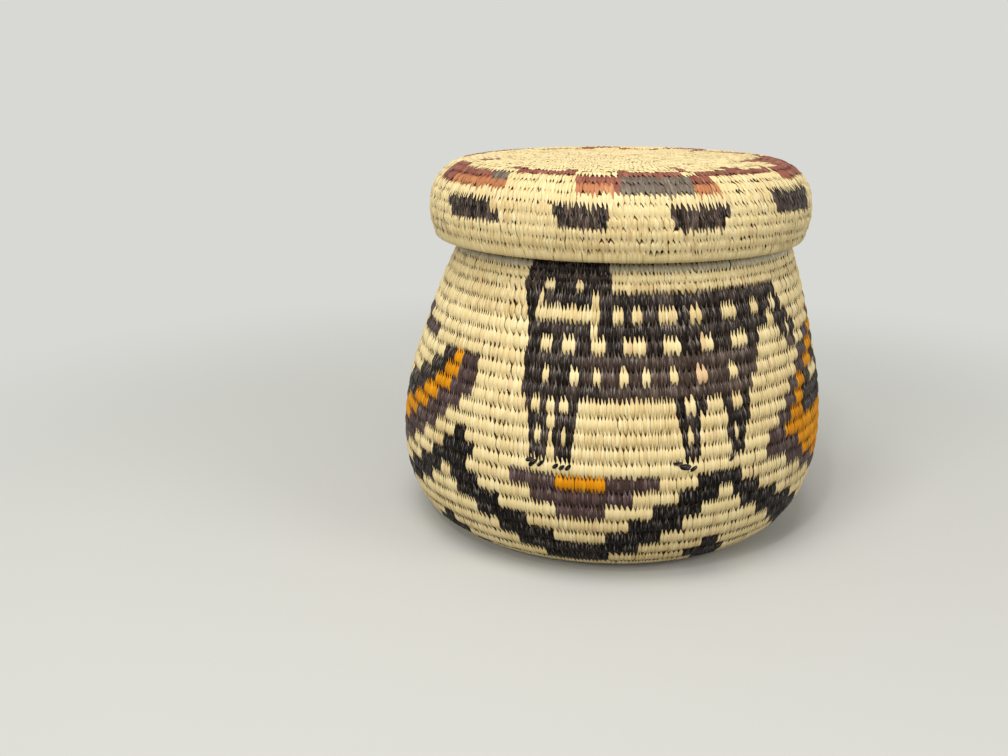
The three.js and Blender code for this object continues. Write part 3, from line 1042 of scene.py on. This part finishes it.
# %% Meshes
def make_mesh(name, points, faces, slots, across, length, tone, batch, chart):
    """A mesh from arrays: points, quads, the material of each quad, the strand's own numbers for each
    point, and the place of each corner in the atlas."""
    mesh = bpy.data.meshes.new(name)
    mesh.vertices.add(len(points))
    mesh.vertices.foreach_set("co", points.astype(np.float32).ravel())
    mesh.loops.add(faces.size)
    mesh.loops.foreach_set("vertex_index", faces.astype(np.int32).ravel())
    mesh.polygons.add(len(faces))
    mesh.polygons.foreach_set("loop_start", np.arange(len(faces), dtype=np.int32) * 4)
    mesh.polygons.foreach_set("material_index", slots.astype(np.int32))
    mesh.polygons.foreach_set("use_smooth", np.ones(len(faces), bool))
    corner = faces.ravel()
    for map_name, places in (("strand", np.stack([across, length], 1)[corner]), ("OFBake", chart)):
        layer = mesh.uv_layers.new(name=map_name)
        layer.uv.foreach_set("vector", places.astype(np.float32).ravel())
    for number, values in (("tone", tone), ("batch", batch)):
        attribute = mesh.attributes.new(number, "FLOAT", "POINT")
        attribute.data.foreach_set("value", values.astype(np.float32))
    for material in materials:
        mesh.materials.append(material)
    mesh.update()
    mesh.validate()
    return mesh


def stretch_mesh(name, coil, first, last, toes):
    """Bundle and strands of the turns first to last, joined into one mesh."""
    here = (coil.strands >= (first if first else -1)) & (coil.strands < last)
    turns, steps, dyes = coil.strands[here], coil.steps[here], coil.dyes[here]
    on_rim = turns >= coil.turns - 1
    inner = ~on_rim & (turns > 0.2)
    sheets = [
        (outer_strands(coil, turns[~on_rim], steps[~on_rim]), dyes[~on_rim]),
        (inner_strands(coil, turns[inner], steps[inner]), dyes[inner]),
        (rim_strands(coil, turns[on_rim], steps[on_rim]), dyes[on_rim]),
    ]
    for shift in toes:
        toe = toe_strands(coil, shift)
        sheets.append((toe, np.full(len(toe[0]), JET)))
    tube = bundle(coil, first, last)
    faces, chart = tube_faces(*tube.shape[:2])
    tube = tube.reshape(-1, 3)
    flat = np.full(len(tube), 0.5)
    parts = [(tube, faces, np.full(len(faces), FIBRE), flat, flat, flat, flat, chart)]
    total = sum(len(dye) for _, dye in sheets)
    done = 0
    for (sheet, across, length), dye in sheets:
        count, rows, columns = sheet.shape[:3]
        if not count:
            continue
        faces = sheet_faces(count, rows, columns)
        slots = np.repeat(dye, (rows - 1) * (columns - 1))
        leaves = count // LEAF + 2
        leaf = (np.arange(count) + LEAF // 2 * len(parts)) // LEAF % leaves
        batches = chance.uniform(0, 1, leaves)[leaf]
        tone, batch = (np.repeat(k, rows * columns) for k in (chance.uniform(0, 1, count), batches))
        corners, size = grid_places(done, count, total)
        inside = np.stack([across, length], axis=-1).reshape(count, -1, 2) * 0.84 + 0.08
        chart = (corners[:, None, :] + inside * size).reshape(-1, 2)[faces]
        numbers = (across.ravel(), length.ravel(), tone, batch)
        parts.append((sheet.reshape(-1, 3), faces, slots, *numbers, chart))
        done += count
    starts = np.cumsum([0, *[len(part[0]) for part in parts]])
    faces = np.vstack([part[1] + start for part, start in zip(parts, starts)])
    chart = np.concatenate([part[7] for part in parts])
    if coil.side > 0:
        faces, chart = faces[:, ::-1], chart[:, ::-1]
    points, slots, *numbers = (np.concatenate([part[k] for part in parts]) for k in (0, 2, 3, 4, 5, 6))
    return make_mesh(name, points, faces, slots, *numbers, chart)


print("an outer strand has", (ALONG - 1) * (ACROSS - 1), "faces")

# %% [markdown]
# ## The stretches
# From the centre to the rim, each stretch takes the place of its plain solid and moves with its body.

# %% Basket and lid
def add_stretches(coil, body, stretches):
    """Makes the stretches of a coil one after the other. Each entry is a node and its turns."""
    first, faces = 0, 0
    for node, count in stretches:
        toes = (0, ANIMAL_TURNED) if node == "belly_coils" else ()
        mesh = stretch_mesh(node + "_sewn", coil, first, first + count, toes)
        made = bpy.data.objects.new(node + "_sewn", mesh)
        scene.collection.objects.link(made)
        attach(made, body)
        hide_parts(node)
        first += count
        faces += len(mesh.polygons)
        print(made.name, len(mesh.polygons), "faces")
    return faces


BASKET_STRETCHES = [("base_start", 2), ("base_spiral", 7), ("base_foot", 3), ("heel_coils", 4)]
BASKET_STRETCHES += [("lower_wall_coils", 5), ("belly_coils", 5), ("upper_wall_coils", 5)]
BASKET_STRETCHES += [("shoulder_coils", 5), ("collar_coils", 4), ("rim_coil", 3)]
LID_STRETCHES = [("lid_start", 3), ("lid_top_spiral", 13), ("lid_top_border", 8)]
LID_STRETCHES += [("lid_shoulder_coils", 4), ("lid_side_coils", 3), ("lid_lip_coil", 2)]
total = add_stretches(basket, "basket", BASKET_STRETCHES) + add_stretches(lid, "lid", LID_STRETCHES)
print("faces in all:", total)
